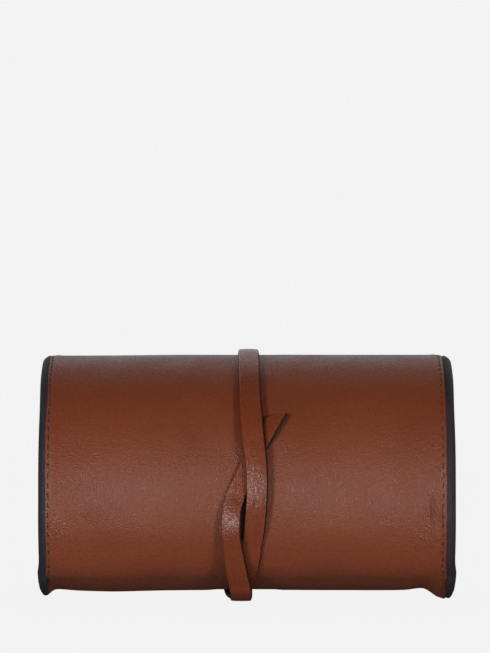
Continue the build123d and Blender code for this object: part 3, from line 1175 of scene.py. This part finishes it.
def sewn_patch():
    """Leather patch over the thong's first end, humped over it and sewn down each side."""
    low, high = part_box("thong_patch")
    middle, half = (low.x + high.x) / 2, (high.x - low.x) / 2
    xs = np.linspace(-half, half, 49)
    angles = np.linspace(PATCH_FROM, PATCH_TO, 25)
    hump = 1 - smooth(np.abs(xs), HUMP_HALF, HUMP_EDGE)
    v = np.linspace(-1, 1, len(angles))
    edge = np.maximum(np.abs(xs)[None, :] / half, np.abs(v)[:, None])
    level = 0.25 * MM + 2.15 * MM * hump[None, :] + 1.0 * MM * (1 - smooth(edge, 0.93, 1.0))
    under = np.broadcast_to(0.02 * MM + 2.1 * MM * hump[None, :], level.shape)
    outer = grid_points(THONG, angles, xs + middle, -level)
    inner = grid_points(THONG, angles, xs + middle, -under)
    rings, across = slab_ring(xs, outer, inner)
    along, normals = THONG.length_at(angles), ring_normals(rings)
    made = tube("patch_leather", rings, across, along, [STRAP], normals, flip=False)
    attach(made, "panel_flap_end")
    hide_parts("thong_patch")
    rows = np.linspace(PATCH_FROM + PATCH_HEM_ANGLE, PATCH_TO - PATCH_HEM_ANGLE, 4)
    spots = [(a, middle + side * (half - PATCH_HEM), 0.0) for side in (-1, 1) for a in rows]
    bodies = ("panel_flap_end", "panel_flap_end")
    stitches("patch_stitches", THONG, spots, bodies, (PATCH_FROM, PATCH_TO), on_patch)


sewn_patch()

# ---- stage, lights, camera

# How bright each paper is by itself, and how much light it gives back
FLOOR_GLOW = 0.872
FLOOR_ALBEDO = 0.06
BACKDROP_GLOW = 0.885
BACKDROP_ALBEDO = 0.02
# The studio in metres: the floor's ends, the backdrop's curve and its top
STAGE_HALF = 9.0
FLOOR_FRONT = -6
FLOOR_BACK = 4
CURVE_R = 3
BACKDROP_TOP = 9.0
# The sky's brightness at the horizon and from a height up, and in reflections
SKY_LOW = 0.46
SKY = 0.05
SKY_FROM = 0.45
SKY_GLOSS = 0.02


def paper(name, glow, albedo):
    """Pale seamless paper; most of its brightness is its own, so it stays even."""
    mat, tree, shader = new_material(name)
    speck = noise(tree, coords(tree, "Object"), 60.0)
    colour = ramp(tree, speck, [(0.3, grey(albedo * 0.98)), (0.7, grey(albedo))])
    tree.links.new(colour, shader.inputs["Base Color"])
    shader.inputs["Roughness"].default_value = 0.95
    shader.inputs["Specular IOR Level"].default_value = 0.0
    shader.inputs["Emission Color"].default_value = (1.0, 1.0, 1.0, 1)
    shader.inputs["Emission Strength"].default_value = glow
    return mat


def stage_sheet(name, y, z, material):
    """A sheet of paper as wide as the set, through points (y, z)."""
    points = np.array([[x, a, b] for a, b in zip(y, z) for x in (-STAGE_HALF, STAGE_HALF)])
    quads = np.array([[2 * i, 2 * i + 1, 2 * i + 3, 2 * i + 2] for i in range(len(y) - 1)])
    made = mesh_object(name, points, quads, points[quads][..., :2], [material])
    return made


floor_y = np.linspace(FLOOR_FRONT, FLOOR_BACK, 12)
floor_paper = paper("floor_paper", FLOOR_GLOW, FLOOR_ALBEDO)
floor = stage_sheet("studio_floor", floor_y, np.zeros(len(floor_y)), floor_paper)
curve = np.linspace(0, math.pi / 2, 16)
stage_sheet(
    "studio_backdrop",
    np.append(FLOOR_BACK + CURVE_R * np.sin(curve), FLOOR_BACK + CURVE_R),
    np.append(CURVE_R - CURVE_R * np.cos(curve), BACKDROP_TOP),
    paper("backdrop_paper", BACKDROP_GLOW, BACKDROP_ALBEDO),
)
# the object is lit by the lamps and the sky, not by the floor's own brightness
floor.visible_glossy = False
floor.visible_diffuse = False

world = bpy.data.worlds.new("studio")
bpy.context.scene.world = world
world.use_nodes = True
sky = world.node_tree
background = sky.nodes["Background"]
direction = sky.nodes.new("ShaderNodeTexCoord")
split = sky.nodes.new("ShaderNodeSeparateXYZ")
sky.links.new(direction.outputs["Generated"], split.inputs[0])
shade = ramp(sky, split.outputs["Z"], [(0.0, grey(SKY_LOW)), (SKY_FROM, grey(SKY))])
rays = sky.nodes.new("ShaderNodeLightPath")
seen = mixed(sky, rays.outputs["Is Glossy Ray"], shade, grey(SKY_GLOSS))
sky.links.new(seen, background.inputs["Color"])
background.inputs["Strength"].default_value = 1.0


def area_light(name, spot, aim, size, power):
    """A softbox at a spot, turned towards its aim. Sizes in metres, power in watts."""
    data = bpy.data.lights.new(name, "AREA")
    data.shape = "RECTANGLE"
    data.size, data.size_y = size
    data.energy = power
    made = bpy.data.objects.new(name, data)
    bpy.context.scene.collection.objects.link(made)
    made.location = spot
    made.rotation_euler = (Vector(aim) - Vector(spot)).to_track_quat("-Z", "Y").to_euler()
    return made


SIDE_AIM = (0, 0, 0.07)
SIDE_SIZE = (0.6, 0.8)
area_light("left_softbox", (-1.50, -2.35, 0.13), SIDE_AIM, SIDE_SIZE, power=68)
area_light("right_softbox", (1.72, -2.15, 0.13), SIDE_AIM, SIDE_SIZE, power=60)
top_light = area_light("top_softbox", (0.1, 0.3, 2.3), (0, 0, 0.06), (2.2, 1.4), power=2.5)
top_light.visible_glossy = False

# The camera looks straight at the front from DISTANCE, at the place AIM in (x, z), and
# sees IMAGE_HIGH / IMAGE_SCALE metres from top to bottom where the front is
DISTANCE = 2.3
IMAGE_HIGH = 653
IMAGE_SCALE = 1990.0
AIM = (-0.001, 0.1404)
SENSOR = 36.0
front_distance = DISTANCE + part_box("cover_front_lower")[0].y
camera_data = bpy.data.cameras.new("camera")
camera = bpy.data.objects.new("camera", camera_data)
bpy.context.scene.collection.objects.link(camera)
camera_data.sensor_width = SENSOR
camera_data.lens = IMAGE_SCALE * front_distance * SENSOR / IMAGE_HIGH
camera_data.clip_end = 100
camera.location = (AIM[0], -DISTANCE, AIM[1])
camera.rotation_euler = (math.radians(90), 0, 0)
bpy.context.scene.camera = camera
bpy.context.scene.view_settings.view_transform = "Standard"
